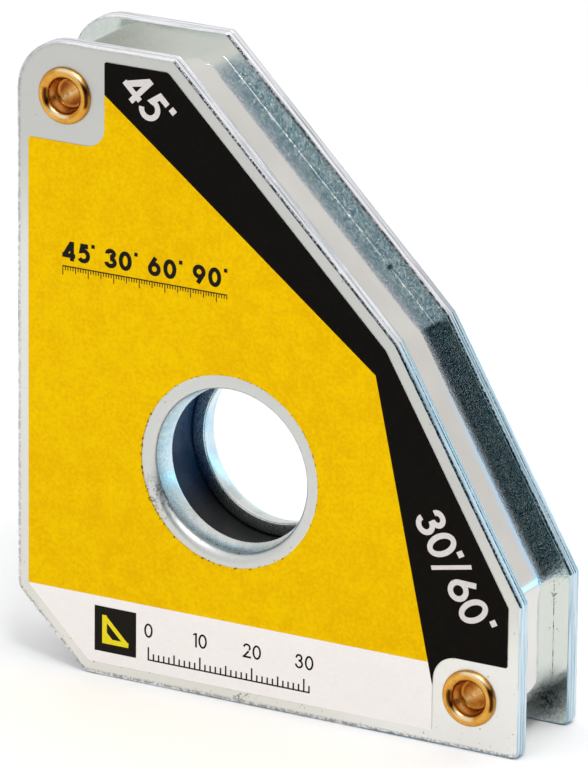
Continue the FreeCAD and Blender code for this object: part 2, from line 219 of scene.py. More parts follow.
class Shell:
    """Vertices with two values each, one for painted shading and tarnish, one for dirt and painted light, and
    faces with their material numbers, of one piece.
    """

    def __init__(self):
        self.verts, self.wear, self.grime, self.faces, self.slots = [], [], [], [], []

    def ring(self, places, wear=0, grime=0):
        first = len(self.verts)
        self.verts += [point(*p) for p in places]
        for stored, given in ((self.wear, wear), (self.grime, grime)):
            stored += list(given) if hasattr(given, "__len__") else [given] * len(places)
        return list(range(first, len(self.verts)))

    def face(self, corners, slot=0):
        self.faces.append(tuple(corners))
        self.slots.append(slot)

    def bridge(self, a, b, slot=0, closed=True):
        count = len(a)
        for i in range(count if closed else count - 1):
            j = (i + 1) % count
            self.face((a[i], a[j], b[j], b[i]), slot)

    def join(self, rings, slot=0, closed=True):
        for a, b in zip(rings, rings[1:]):
            self.bridge(a, b, slot, closed)

    def fan(self, ring, centre):
        hub = self.ring([centre])[0]
        for i in range(len(ring)):
            self.face((ring[i], ring[(i + 1) % len(ring)], hub))

    def fill(self, outer, holes, slot=0):
        """Flat triangles between an outer ring of vertices and the rings inside it."""
        rings = [outer] + holes
        spots = np.array([(self.verts[i][0], self.verts[i][2]) for r in rings for i in r]) / MM
        ends = np.cumsum([0] + [len(r) for r in rings])
        loops = [spots[ends[k]:ends[k + 1]] for k in range(len(rings))]
        ids = [i for r in rings for i in r]
        flat, tris, middles, origin = triangulate(loops)
        keep = inside(loops[0], middles)
        for hole in loops[1:]:
            keep &= ~inside(hole, middles)
        back = [ids[o[0]] for o in origin]
        for tri in tris[keep]:
            self.face([back[k] for k in tri], slot)

    def build(self, name, materials, replaces=(), smooth=True):
        """The piece as an object that rides on the root body."""
        mesh = bpy.data.meshes.new(name)
        mesh.from_pydata(self.verts, [], self.faces)
        for key, numbers in (("wear", self.wear), ("grime", self.grime)):
            mesh.attributes.new(key, "FLOAT", "POINT").data.foreach_set("value", numbers)
        for material in materials:
            mesh.materials.append(material)
        mesh.polygons.foreach_set("material_index", self.slots)
        bm = bmesh.new()
        bm.from_mesh(mesh)
        bmesh.ops.recalc_face_normals(bm, faces=bm.faces)
        bm.to_mesh(mesh)
        bm.free()
        mesh.update()
        mesh.set_sharp_from_angle(angle=SHARP)
        mesh.polygons.foreach_set("use_smooth", [smooth] * len(mesh.polygons))
        piece = placed(name, mesh)
        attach(piece, "root")
        for node in replaces:
            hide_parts(node)


def circle(x, z, radius, y, count=96, squash=None):
    """Ring of points about a centre, at depth y."""
    out = []
    for k in range(count):
        a = 2 * math.pi * k / count
        r = radius if squash is None else radius + squash(a)
        out.append((x + r * math.cos(a), y, z + r * math.sin(a)))
    return out


# ---- Node materials ----
class Nodes:
    """Short way to write a node tree: every method adds a node and returns its output."""

    def __init__(self, tree):
        self.tree = tree
        tree.nodes.clear()

    def add(self, kind, inputs=(), output=0, **settings):
        node = self.tree.nodes.new("ShaderNode" + kind)
        for key, setting in settings.items():
            setattr(node, key, setting)
        for key, given in dict(inputs).items():
            socket = node.inputs[key]
            if isinstance(given, bpy.types.NodeSocket):
                self.tree.links.new(given, socket)
            elif isinstance(given, tuple) and len(given) == 3 and socket.type == "RGBA":
                socket.default_value = (*given, 1)
            else:
                socket.default_value = given
        return None if output is None else node.outputs[output]

    def ramp(self, value, low, high, to_low=0, to_high=1):
        return self.add(
            "MapRange",
            {"Value": value, "From Min": low, "From Max": high, "To Min": to_low, "To Max": to_high},
            interpolation_type="SMOOTHSTEP",
        )

    def math(self, operation, a, b=0, clamp=False):
        return self.add("Math", {0: a, 1: b}, operation=operation, use_clamp=clamp)

    def plus(self, a, b):
        return self.math("ADD", a, b)

    def most(self, a, b):
        return self.math("MAXIMUM", a, b)

    def times(self, *values):
        product = values[0]
        for value in values[1:]:
            product = self.math("MULTIPLY", product, value)
        return product

    def vector(self, operation, a, b, output=1):
        return self.add("VectorMath", {0: a, 1: b}, output, operation=operation)

    def dot(self, vector, direction):
        return self.vector("DOT_PRODUCT", vector, direction)

    def mix(self, share, a, b):
        return self.add("Mix", {0: share, 6: a, 7: b}, output=2, data_type="RGBA")

    def spread(self, value, to_low, to_high):
        """A noise, which lies mostly between 0.3 and 0.7, spread over a range."""
        return self.ramp(value, 0.3, 0.7, to_low, to_high)

    def blend(self, value, a, b, low=0.3, high=0.7):
        """Colour a where the value is low, b where it is high."""
        return self.mix(self.ramp(value, low, high), a, b)


class Paint(Nodes):
    """A node material round one Principled shader, painted in object coordinates."""

    def __init__(self, name, base, metallic=0, roughness=0.5, **settings):
        self.material = bpy.data.materials.new(name)
        self.material.use_nodes = True
        super().__init__(self.material.node_tree)
        settings.update(Base_Color=base, Metallic=metallic, Roughness=roughness)
        inputs = {key.replace("_", " "): setting for key, setting in settings.items()}
        surface = self.add("BsdfPrincipled", inputs, output="BSDF")
        self.add("OutputMaterial", {"Surface": surface}, output=None)
        self.shader = surface.node
        self.colour = None
        self.place = self.add("TexCoord", output="Object")

    def noise(self, scale, detail=3, rough=0.6, warp=0, seed=0):
        """Noise with features of about 1/scale metres; three numbers stretch it along the axes."""
        place = self.place
        if isinstance(scale, tuple):
            place, scale = self.add("Mapping", {"Vector": place, "Scale": scale}), 1
        return self.add(
            "TexNoise",
            {"Vector": place, "Scale": scale, "Detail": detail, "Roughness": rough, "Distortion": warp,
             "W": seed},
            noise_dimensions="4D",
        )

    def attribute(self, name):
        return self.add("Attribute", output=2, attribute_name=name)

    def fade(self, axis, start, end, to_low=0, to_high=1):
        """Ramp along axis 0, 1 or 2 between two places in plate millimetres."""
        along = self.add("SeparateXYZ", {0: self.place}, output=axis)
        origin = (LEFT, 0, 0)[axis]
        return self.ramp(along, origin + start * MM, origin + end * MM, to_low, to_high)

    def distance(self, x, y, z, axes=(1, 1, 1)):
        """Distance from a place in plate millimetres, measured along the axes marked 1."""
        place = self.place
        if 0 in axes:
            place = self.vector("MULTIPLY", place, axes, 0)
        return self.vector("DISTANCE", place, point(x, y, z))

    def spot(self, place, radius):
        """1 at a place in plate millimetres, fading to 0 at the radius."""
        return self.ramp(self.distance(*place), radius * MM, 0)

    def bump(self, height, distance, strength=1, normal=None):
        inputs = {"Height": height, "Distance": distance, "Strength": strength}
        if normal is not None:
            inputs["Normal"] = normal
        return self.add("Bump", inputs)

    def lay(self, share, colour, strength=1):
        """Lay a colour over the one so far, by a share."""
        share = share if strength == 1 else self.times(share, strength)
        self.colour = self.mix(share, self.colour, colour)

    def use(self, rough=None, normal=None):
        for key, output in (("Base Color", self.colour), ("Roughness", rough), ("Normal", normal)):
            if output:
                self.tree.links.new(output, self.shader.inputs[key])
        return self.material


def hole_distance(p):
    """Distance from the axis of the finger hole."""
    return p.distance(HOLE_X, 0, HOLE_Z, axes=(1, 0, 1))


def label_rim_dirt(p):
    """Dark crumbs along the cut edge of the label round the hole."""
    distance = hole_distance(p)
    band = p.times(
        p.ramp(distance, (LABEL_HOLE - 0.3) * MM, (LABEL_HOLE - 0.05) * MM),
        p.ramp(distance, (LABEL_HOLE + 0.32) * MM, (LABEL_HOLE + 0.05) * MM),
    )
    return p.times(band, p.ramp(p.noise(1300, 2, 0.6, seed=12), 0.54, 0.64))


def grime(p, low, high):
    """Dark specks from the vertex value, broken up by a fine noise: dirt, and painted shade along the plate's
    lower edges.
    """
    return p.times(p.attribute("grime"), p.ramp(p.noise(1500, 3, 0.7, seed=15), low, high))


def zinc_face():
    """Satin zinc over rolled sheet: faint clouds, rolling lines, specks and a few handling marks, with painted
    light and shade across the face, on the lip of the hole and along the lower edges.
    """
    p = Paint("zinc_face", (0.72, 0.72, 0.68), metallic=1, roughness=0.34)
    clouds = p.noise(45, 4, 0.6, warp=0.4)
    rolling = p.noise((70, 70, 1600))
    grain = p.noise(2600, 2, 0.6, seed=2)
    p.colour = p.blend(clouds, (0.71, 0.71, 0.67), (0.77, 0.765, 0.725))
    p.lay(p.ramp(rolling, 0.52, 0.75, 0, 0.35), (0.79, 0.785, 0.75))
    # painted shade: the face is coloured darker towards the upper right
    across = p.dot(p.place, (0.5, 0, 0.85))
    front = p.fade(1, 0, -4.0)
    painted_shade_upper_right = p.ramp(across, LEFT * 0.5 + 60 * MM, LEFT * 0.5 + 82 * MM)
    p.lay(p.times(painted_shade_upper_right, front), (0.5, 0.505, 0.48), 0.8)
    # painted shade: darker round the hole
    ring = p.ramp(hole_distance(p), (LABEL_HOLE + 0.5) * MM, (LABEL_HOLE - 0.5) * MM)
    p.lay(p.times(ring, front), (0.57, 0.585, 0.57), 0.8)
    # painted light: lighter towards the lower right
    painted_light_lower_right = p.times(p.fade(0, 55, 75), p.fade(2, 26, 14))
    p.lay(painted_light_lower_right, (0.85, 0.86, 0.85), 0.6)
    # painted shade: darker along the lower part of the left edge
    painted_shade_lower_left = p.times(p.fade(0, 9, 2), p.fade(2, 60, 20))
    p.lay(painted_shade_lower_left, (0.66, 0.65, 0.6), 0.6)
    dirt = p.noise(900, 4, 0.7, seed=8)
    crumbs = p.noise(2400, 2, 0.6, seed=9)
    scuff = p.times(p.spot(HOLE_SCUFF, 5.6), p.ramp(dirt, 0.46, 0.54), p.ramp(crumbs, 0.44, 0.52), 1.6)
    smear = p.times(p.spot(FOOT_SMEAR, 4.0), p.ramp(dirt, 0.52, 0.62))
    specks = p.ramp(p.noise(620, 2, 0.5, seed=5), 0.735, 0.79)
    fine_specks = p.ramp(p.noise(1500, 2, 0.5, seed=18), 0.67, 0.73)
    specks = p.most(p.times(specks, 0.75), p.times(fine_specks, p.fade(2, 60, 20, 0.25, 1)))
    marks = p.math("ADD", specks, p.plus(scuff, smear), clamp=True)
    marks = p.most(marks, p.times(label_rim_dirt(p), front))
    marks = p.most(marks, p.times(grime(p, 0.38, 0.58), 0.9))
    p.lay(marks, (0.1, 0.095, 0.085), 0.8)
    # painted light: paler where the vertex value is set, on the lip of the hole and at the start of the rolled
    # edge on the slopes
    painted_sheen = p.times(p.attribute("wear"), p.ramp(grain, 0.35, 0.65, 0.3, 1))
    p.lay(painted_sheen, (0.84, 0.85, 0.84))
    rough = p.ramp(p.plus(clouds, p.times(rolling, 0.5)), 0.5, 1, 0.3, 0.42)
    rough = p.plus(rough, p.times(painted_sheen, 0.25))
    height = p.plus(p.times(grain, 0.5), p.times(rolling, 0.5))
    fine = p.bump(height, 0.000012, 0.5)
    normal = p.bump(clouds, 0.0002, 0.1, normal=fine)
    return p.use(rough, normal)


def zinc_edge():
    """Sheared edge of the plate: fine lines along it, a blue cast low down on the right, and grooves painted
    near black as a painted dark reflection.
    """
    p = Paint("zinc_edge", (0.8, 0.82, 0.85), metallic=1, roughness=0.28)
    lines = p.noise((60, 3200, 60), 3, 0.65)
    dots = p.noise(2600, 2, 0.6, seed=3)
    grain = p.noise(3200, 2, 0.6, seed=4)
    low = p.times(p.fade(2, 72, 64), p.fade(0, 60, 70))
    pale = p.mix(low, (0.9, 0.9, 0.93), (0.62, 0.73, 0.8))
    deep = p.mix(low, (0.5, 0.53, 0.57), (0.3, 0.45, 0.53))
    p.colour = p.blend(lines, deep, pale, 0.4, 0.56)
    # painted shade: the grooves are painted near black, in dots, more solidly along the 45 degree slope
    broken = p.most(p.ramp(dots, 0.4, 0.54), p.ramp(above_knee(p), 0, 1, 0.1, 0.55))
    groove = p.times(p.attribute("wear"), broken)
    p.lay(groove, (0.012, 0.016, 0.022))
    p.lay(grime(p, 0.42, 0.62), (0.1, 0.11, 0.11), 0.6)
    height = p.plus(p.times(lines, 0.7), p.times(grain, 0.3))
    return p.use(p.spread(lines, 0.16, 0.3), p.bump(height, 0.00004, 0.4))


def on_slopes(p):
    """1 along the two slopes, where the plating is frosty and painted darker as a dark reflection, and 0 along
    the other sides.
    """
    low = corner_points(STRIP_INSET)["side_top"][1]
    return p.times(
        p.fade(2, low - 1, low + 1), p.fade(2, HEIGHT - 4, HEIGHT - 7), p.fade(0, 4, 8)
    )


def above_knee(p):
    """1 along the 45 degree slope and 0 along the 60 degree slope below it."""
    knee = corner_points(STRIP_INSET)["knee"][1]
    return p.fade(2, knee - 1, knee + 1)


def frost(p, share):
    """Normal and pattern of the fine frosty spangle; share says where it is strong."""
    needles = p.noise(1250, 4, 0.75, warp=1.3, seed=6)
    grains = p.noise(2300, 3, 0.7, seed=16)
    pattern = p.mix(above_knee(p), grains, needles)
    clouds = p.noise(90, seed=2)
    strength = p.ramp(share, 0, 1, 0.12, 1)
    hairs = p.noise(2700, 2, 0.6, warp=1.4, seed=22)
    tone = p.plus(p.times(pattern, 0.5), p.times(hairs, 0.5))
    return p.bump(pattern, 0.00006, strength, normal=p.bump(clouds, 0.0005, 0.05)), tone


def seam_marks(p, pattern):
    """Dark line along the seam between the strip and the plate behind, a painted shade broken up like dirt,
    with dirt crumbs beside it, a painted shadow under the lower bend and one dark dot.
    """
    line = p.times(p.attribute("wear"), p.ramp(pattern, 0.43, 0.53))
    p.lay(line, (0.015, 0.02, 0.02))
    # crumbs beside the seam down the right side
    beside = p.distance(WIDTH - STRIP_INSET, GAP_Y, 0, axes=(1, 1, 0))
    crumbs = p.ramp(p.noise(1250, 3, 0.7, seed=21), 0.6, 0.68)
    crumbs = p.times(p.ramp(beside, 1.7 * MM, 0.1 * MM), crumbs)
    p.lay(crumbs, (0.03, 0.035, 0.03))
    # painted shadow under the strip's lower bend
    stain = p.times(p.spot(BEND_SHADOW, 7.6), p.ramp(pattern, 0.4, 0.56, 0.6, 1))
    p.lay(stain, (0.012, 0.03, 0.035))
    p.lay(p.spot(SEAM_DOT, 0.85), (0.01, 0.01, 0.01))


def zinc_inside():
    """Inner faces and rims, which nothing rubs: a cleaner, glossier plating with a fine spangle, painted dull
    blue-green in streaks along the slopes as a painted dark reflection.
    """
    pale, dark_reflection_tone = (0.86, 0.92, 0.89), (0.34, 0.55, 0.56)
    p = Paint("zinc_inside", pale, metallic=1, roughness=0.14)
    spangle = p.noise((1300, 900, 1300), 4, 0.7, warp=1.2)
    frosty = on_slopes(p)
    normal, streaks = frost(p, frosty)
    # painted reflection: dark streaks along the slopes
    p.colour = p.mix(p.times(frosty, p.ramp(streaks, 0.54, 0.46)), pale, dark_reflection_tone)
    corner = p.fade(0, 24, 6)
    p.lay(p.times(corner, p.ramp(spangle, 0.3, 0.6, 0.75, 1)), (0.5, 0.55, 0.51))
    seam_marks(p, streaks)
    return p.use(p.spread(spangle, 0.03, 0.08), normal)


def rim_inside():
    """Wall of the finger hole: painted blue reflection high up, plain grey lower down."""
    p = Paint("zinc_rim", (0.6, 0.72, 0.78), metallic=1, roughness=0.16)
    patches = p.noise(150, warp=0.8)
    spangle = p.noise(1700, 3, 0.7, seed=3)
    blue = p.blend(patches, (0.42, 0.67, 0.82), (0.7, 0.83, 0.87))
    grey = p.blend(patches, (0.58, 0.61, 0.6), (0.72, 0.73, 0.71), 0.4, 0.6)
    # painted reflection: blue high up, grey lower down
    p.colour = p.mix(p.fade(2, HOLE_Z - 11, HOLE_Z - 5), grey, blue)
    p.lay(p.ramp(spangle, 0.5, 0.75, 0, 0.35), (0.5, 0.55, 0.56))
    return p.use(p.spread(spangle, 0.2, 0.32), p.bump(spangle, 0.00004, 0.3))


def bright_metal():
    """Bright rolled strip, nearly a mirror, with a fine frosty speckle in it; along the slopes a band is
    painted darker and bluer as a painted dark reflection, with a painted blue glow beside it.
    """
    p = Paint("bright_strip", (0.7, 0.69, 0.67), metallic=1, roughness=0.12)
    clouds = p.noise(70, warp=0.5)
    speckle = p.noise((1500, 900, 1500), 4, 0.7, warp=0.8)
    slopes = on_slopes(p)
    sharp = p.fade(1, GAP_Y - 4.9, GAP_Y - 4.6)
    ragged = p.fade(1, GAP_Y - 5.6, GAP_Y - 4.4)
    frosty = p.times(slopes, p.mix(above_knee(p), sharp, ragged))
    normal, streaks = frost(p, frosty)
    p.colour = p.blend(clouds, (0.67, 0.655, 0.625), (0.73, 0.715, 0.69))
    # painted reflection: the frosty band is coloured dark blue-grey in streaks
    p.lay(p.times(frosty, p.ramp(streaks, 0.54, 0.46)), (0.42, 0.49, 0.6))
    # painted reflection: a blue glow beside the frost, low on the 60 degree side
    beside = p.times(p.fade(1, GAP_Y - 6.8, GAP_Y - 4.9), p.fade(1, GAP_Y - 4.0, GAP_Y - 4.6))
    p.lay(p.times(slopes, beside, p.fade(2, 64, 44)), (0.56, 0.75, 0.92))
    seam = p.times(slopes, p.fade(1, GAP_Y - 0.25, GAP_Y - 0.12))
    p.lay(seam, (0.3, 0.34, 0.35), 0.32)
    seam_marks(p, streaks)
    return p.use(p.ramp(speckle, 0.3, 0.75, 0.03, 0.08), normal)


def vinyl(name, colour, paler, rough, shine):
    """Printed film: even ink, slightly mottled, with a fine matt grain."""
    p = Paint(name, colour, roughness=rough, Specular_IOR_Level=shine)
    mottle = p.noise(260, 4, 0.65, warp=0.6)
    broad = p.noise(38, seed=3)
    fleck = p.noise(1500, 2, 0.6, seed=7)
    grain = p.noise(3000, 2, 0.6, seed=1)
    share = p.plus(p.plus(p.times(mottle, 0.35), p.times(broad, 0.2)), p.times(fleck, 0.45))
    p.colour = p.blend(share, colour, paler, 0.38, 0.62)
    specks = p.ramp(p.noise(480, 2, 0.5, seed=9), 0.755, 0.8, 0, 0.6)
    p.lay(specks, tuple(c * 0.35 for c in colour))
    p.lay(label_rim_dirt(p), (0.03, 0.02, 0.005), 0.8)
    return p.use(p.spread(mottle, rough - 0.06, rough + 0.08),
                 p.bump(p.plus(grain, mottle), 0.00002, 0.35))


def ink(name, colour, shine=0.25):
    p = Paint(name, colour, roughness=0.5, Specular_IOR_Level=shine)
    grain = p.noise(2200)
    p.colour = p.blend(grain, tuple(c * 0.9 for c in colour), colour)
    return p.use(p.spread(grain, 0.45, 0.6), p.bump(grain, 0.00001, 0.3))


def brass():
    """Turned brass, red-brown in the corners of the socket, with fine turning marks, and painted highlights,
    painted dark reflections and painted shade on the socket floor laid from the rivet's vertex values.
    """
    p = Paint("brass", (0.76, 0.4, 0.07), metallic=1, roughness=0.2)
    stain = p.noise(420, 4, 0.65, warp=0.5)
    fine = p.noise(2600, seed=2)
    p.colour = p.blend(stain, (0.62, 0.28, 0.035), (0.8, 0.44, 0.085), 0.32, 0.68)
    p.lay(p.ramp(fine, 0.55, 0.75, 0, 0.4), (0.88, 0.55, 0.16))
    signed_reflection = p.attribute("grime")
    painted_reflections = p.times(p.most(signed_reflection, 0), p.ramp(stain, 0.25, 0.5, 0.8, 1))
    # painted highlight
    p.lay(painted_reflections, (1, 0.88, 0.58))
    # painted dark reflection
    p.lay(p.most(p.times(signed_reflection, -1), 0), (0.03, 0.012, 0.003))
    deep = p.times(p.attribute("wear"), p.ramp(stain, 0.3, 0.6, 0.6, 1))
    p.lay(deep, (0.25, 0.048, 0.008))
    rough = p.plus(p.spread(stain, 0.21, 0.3), p.times(deep, 0.05))
    return p.use(rough, p.bump(p.plus(fine, stain), 0.00003, 0.5))


def dark_tube():
    """Dark moulded tube with a soft sheen, painted navy towards the top and near black lower down as painted
    light and shade.
    """
    p = Paint("dark_tube", (0.008, 0.014, 0.03), roughness=0.3, Specular_IOR_Level=0.12)
    smear = p.noise(160, 4, 0.6, warp=0.6)
    grain = p.noise(1800, seed=2)
    # painted light: navy high up, near black low down
    blue = p.fade(2, HOLE_Z - 13, HOLE_Z - 3)
    p.colour = p.mix(blue, (0.0045, 0.0045, 0.0045), (0.008, 0.046, 0.135))
    p.lay(p.ramp(smear, 0.35, 0.65, 0, 0.35), (0.003, 0.006, 0.012))
    return p.use(p.spread(smear, 0.22, 0.42), p.bump(grain, 0.00004, 0.4))


def edge_wear(p):
    """1 along outward edges of the mesh."""
    return p.ramp(p.add("NewGeometry", output="Pointiness"), 0.51, 0.6)


def sleeve_metal():
    p = Paint("sleeve_steel", (0.5, 0.51, 0.52), metallic=1, roughness=0.4)
    clouds = p.noise(400, 4, 0.6)
    turned = p.noise((120, 3000, 120))
    p.colour = p.blend(clouds, (0.4, 0.4, 0.41), (0.6, 0.6, 0.6))
    p.lay(edge_wear(p), (0.78, 0.78, 0.77))
    return p.use(p.spread(turned, 0.3, 0.5), p.bump(turned, 0.00004, 0.4))


def ferrite():
    p = Paint("ferrite", (0.05, 0.05, 0.055), roughness=0.6)
    grain = p.noise(1400, 5, 0.7)
    pits = p.ramp(p.noise(500, seed=4), 0.62, 0.72)
    p.colour = p.blend(grain, (0.035, 0.035, 0.04), (0.085, 0.085, 0.09))
    p.lay(pits, (0.015, 0.015, 0.017))
    p.lay(edge_wear(p), (0.13, 0.13, 0.135))
    height = p.math("SUBTRACT", grain, pits)
    return p.use(p.spread(grain, 0.5, 0.75), p.bump(height, 0.00008, 0.6))


ZINC = zinc_face()
EDGE = zinc_edge()
INSIDE = zinc_inside()
RIM = rim_inside()
BRIGHT = bright_metal()
YELLOW = vinyl("vinyl_yellow", (0.81, 0.455, 0), (0.91, 0.575, 0), 0.5, 0.02)
BLACK = vinyl("vinyl_black", (0.0045, 0.0036, 0.0028), (0.0065, 0.0052, 0.004), 0.5, 0.03)
WHITE = vinyl("vinyl_white", (0.91, 0.865, 0.85), (0.94, 0.9, 0.885), 0.45, 0.1)
WHITE_INK = ink("ink_white", (0.74, 0.69, 0.67))
BLACK_INK = ink("ink_black", (0.012, 0.01, 0.008), shine=0.05)
YELLOW_INK = ink("ink_yellow", (0.88, 0.72, 0.002))
BRASS = brass()
TUBE = dark_tube()
SLEEVE = sleeve_metal()
FERRITE = ferrite()

# ---- Plates ----
PLATE_RADII = {
    "base_right": 1.6, "side_top": 1, "knee": 1, "slope_top": 1,
    "top_left": 9.35, "foot_left": 3.0, "foot_right": 3.0,
}
# sheared edge, from the outer face inwards: (how far inside the outline, depth, groove share); the groove
# share sets how much a groove waves and how dark it is painted, a painted shade
EDGE_PROFILE = [
    (0.5, 0, 0), (0.38, 0.01, 0.2), (0.28, 0.045, 0.9), (0.19, 0.1, 1), (0.11, 0.18, 1),
    (0.05, 0.28, 0.8), (0.015, 0.4, 0.2), (0, 0.55, 0), (0, 0.9, 0), (0, 1.22, 0),
    (0.02, 1.32, 0.5), (0.1, 1.42, 0.9), (0.1, 1.5, 0.9), (0.02, 1.6, 0.4), (0.01, 1.7, 0),
    (0.01, 2.0, 0), (0.04, 2.08, 0.3), (0.09, 2.15, 0.5), (0.04, 2.22, 0.3), (0.03, 2.3, 0),
    (0.03, 2.5, 0), (0.04, 2.6, 0.2), (0.08, 2.72, 0.9), (0.15, 2.84, 1), (0.25, 2.94, 1),
    (0.4, 3.0, 0.3),
]
GROOVED_WAY = (0.8, 0.6)  # middle of the outward directions of the two slopes
ROLLOVER_RINGS = 2
OUTLINE_STEP = 0.6
FACE_INSET, FACE_SUPPORT = 0.96, 0.87  # where the rolled edge runs out into the flat outer face
INNER_INSET, INNER_SUPPORT = 0.8, 0.5  # the same on the inner face
ROLLED_END, EDGE_START, EDGE_END, BURR_START = 0.6, 0.9, 2.4, 2.7  # depths of the edge's parts
RIVET_CLEARANCE = 0.02
EDGE_WAVE, GROOVE_WAVE = 0.012, 0.05
# lip of the hole: its rounding, how much wider than the bore it ends, and its steps and arc
LIP_ROUND = 1.3
LIP_TAPER = 0.62
LIP_TURNS = 12
LIP_SWEEP = math.radians(81)


def hole_profile():
    """(radius beyond the bore, depth, paler share) of the rim, and which step starts the inner finish; the
    paler share is painted light on the lip's rounding.
    """
    top = LIP_TAPER + LIP_ROUND
    rows = [(top + 0.3, 0, 0)]
    for k in range(LIP_TURNS + 1):
        angle = LIP_SWEEP * k / LIP_TURNS
        rows.append((
            top - LIP_ROUND * math.sin(angle), LIP_ROUND * (1 - math.cos(angle)), 0.3 * math.sin(2 * angle)
        ))
    start = len(rows) - 1
    depth = OUTER_Y - RIM_Y
    rows += [
        (LIP_TAPER * 0.55, 2.4, 0), (LIP_TAPER * 0.2, 3.8, 0), (0, depth - 0.5, 0),
        (0.03, depth - 0.2, 0.3), (0.14, depth - 0.05, 0.6),
        (0.3, depth, 0.4), (RIM_WALL - 0.35, depth, 0.2), (RIM_WALL - 0.12, depth - 0.05, 0.2),
        (RIM_WALL, depth - 0.25, 0), (RIM_WALL, PLATE_THICK + 0.7, 0),
        (RIM_WALL + 0.08, PLATE_THICK + 0.35, 0), (RIM_WALL + 0.3, PLATE_THICK + 0.1, 0),
        (RIM_WALL + 0.7, PLATE_THICK, 0), (RIM_WALL + 1.1, PLATE_THICK, 0),
    ]
    return rows, start


def make_plate(name, side):
    """One stamped plate.  side is -1 for the plate towards -Y, +1 for the one behind."""
    shell = Shell()
    places, normals = rounded_outline(0, PLATE_RADII, OUTLINE_STEP)

    def outline_ring(inset, depth, groove, seed):
        wave = EDGE_WAVE * (1 if depth > EDGE_START else 0.3)
        shift = np.array([
            inset + wave * wobble(p, 1.3, seed) + groove * GROOVE_WAVE * wobble(p, 0.8, seed + 3)
            for p in places
        ])
        spots = places - normals * shift[:, None]
        # painted shade: how dark the grooves are painted, only along the two slopes
        to_slopes = normals @ np.array(GROOVED_WAY)
        share = unit((to_slopes - 0.86) / 0.08)
        if EDGE_START < depth < EDGE_END:
            share *= np.clip((normals[:, 0] - 0.6) / 0.25, 0.25, 1)
        if side < 0:
            share *= unit(np.linalg.norm(places - np.array(EDGE_NICK), axis=1) * 2 - 0.4)
        # dark specks on the lower and left edges: dirt, and painted shade along the lower edges where the
        # plate meets the floor
        grime = 0.35 + 0.65 * unit(-normals[:, 1]) + 0.3 * unit(-normals[:, 0]) ** 4
        grime *= unit(0.8 - to_slopes) ** 0.5
        grime *= min(1, (FACE_INSET - inset) / 0.4) * (depth < ROLLED_END)
        if depth > BURR_START:
            grime = unit(-1.4 * normals[:, 0])
        return shell.ring([(x, side * (OUTER_Y - depth), z) for x, z in spots], groove * share, grime)

    face = outline_ring(FACE_INSET, 0, 0, side)
    support = outline_ring(FACE_SUPPORT, 0, 0, side)
    shell.bridge(face, support, 0)
    rings = [support]
    rings += [outline_ring(*row, side * (3 if row[1] > EDGE_START else 1)) for row in EDGE_PROFILE]
    shell.join(rings[:ROLLOVER_RINGS + 1], 0)
    shell.join(rings[ROLLOVER_RINGS:], 1)
    inner_support = outline_ring(INNER_SUPPORT, PLATE_THICK, 0, side)
    inner_face = outline_ring(INNER_INSET, PLATE_THICK, 0, side)
    shell.join([rings[-1], inner_support, inner_face], 2)

    hole = []
    rows, inner_start = hole_profile()
    for row, (extra, depth, wear) in enumerate(rows):
        spots = []
        for x, _, z in circle(0, 0, 1, 0, 128):
            soft, reach = 1, extra
            if row <= inner_start:
                # the lip is crisp at the left and broad at the lower left
                soft = 1 + 0.55 * (-z * 0.94 - x * 0.34) - 0.3 * max(0, -x)
                reach = LIP_TAPER + (extra - LIP_TAPER) * soft
            spots.append((
                HOLE_X + x * (HOLE_R + reach), side * (OUTER_Y - depth * soft), HOLE_Z + z * (HOLE_R + reach)
            ))
        hole.append(shell.ring(spots, wear))
    shell.join(hole[:inner_start + 1], 0)
    shell.join(hole[inner_start:], 3)
    outer_holes, inner_holes = [hole[0]], [hole[-1]]
    for node in ("rivet_upper_left", "rivet_lower_right"):
        centre = rivet_centre(node)
        rims = [shell.ring(circle(*centre, SHANK_R + RIVET_CLEARANCE, side * y, 64)) for y in (OUTER_Y, GAP_Y)]
        shell.bridge(*rims, 0)
        outer_holes.append(rims[0])
        inner_holes.append(rims[1])
    shell.fill(face, outer_holes, 0)
    shell.fill(inner_face, inner_holes, 2)
    shell.build(f"{name}_detailed", [ZINC, EDGE, INSIDE, RIM], [name])


make_plate("front_plate", -1)
make_plate("back_plate", 1)

# ---- Strip between the plates ----
STRIP_RADII = {name: STRIP_BEND for name in CORNERS}
STRIP_RADII.update(slope_top=5.5, side_top=6.0)
# round the two rivets
STRIP_RADII["top_left"] = STRIP_RADII["base_right"] = rivet_centre("rivet_upper_left")[0] - STRIP_INSET
# across the strip: (share of the half width, how far it stands up where it is pressed to the plate)
STRIP_ACROSS = [(1, 0.08), (0.994, 0.035), (0.984, 0.01)]
STRIP_ACROSS += [(share, 0) for share in (0.97, 0.92, 0.8, 0.6, 0.4, 0.2)]


